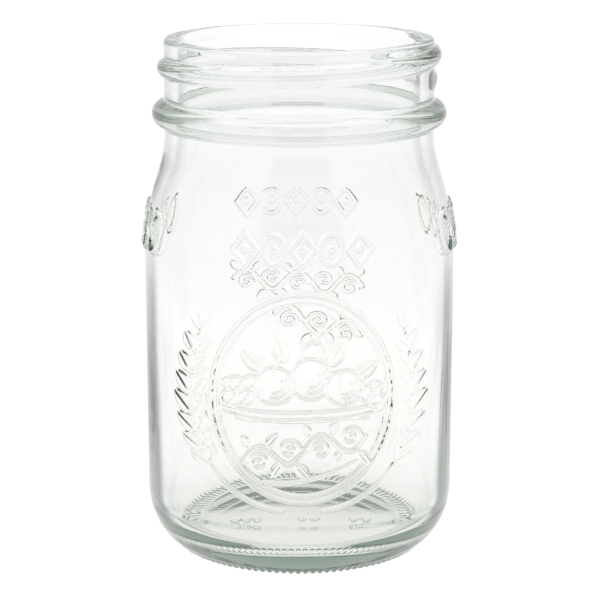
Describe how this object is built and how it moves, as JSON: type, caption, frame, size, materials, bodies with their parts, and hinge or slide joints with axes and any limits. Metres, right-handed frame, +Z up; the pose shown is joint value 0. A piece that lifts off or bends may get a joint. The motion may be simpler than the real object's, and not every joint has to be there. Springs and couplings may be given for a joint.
{
  "type": "canning jar",
  "caption": "Open moulded-glass canning jar with a screw-threaded neck, transfer bead, rounded-square body, raised oval medallion and a pushed-up base.",
  "frame": {"origin": "on the jar's axis, in the plane that it stands on", "axes": "+Z up through the mouth, -Y towards the side with the medallion"},
  "size_m": [0.0776, 0.0784, 0.127],
  "materials": {
    "glass": "clear fire-polished moulded glass with a faint green cast in the thick edges"
  },
  "bodies": {
    "root": {"glass_jar": "glass"}
  },
  "joints": []
}
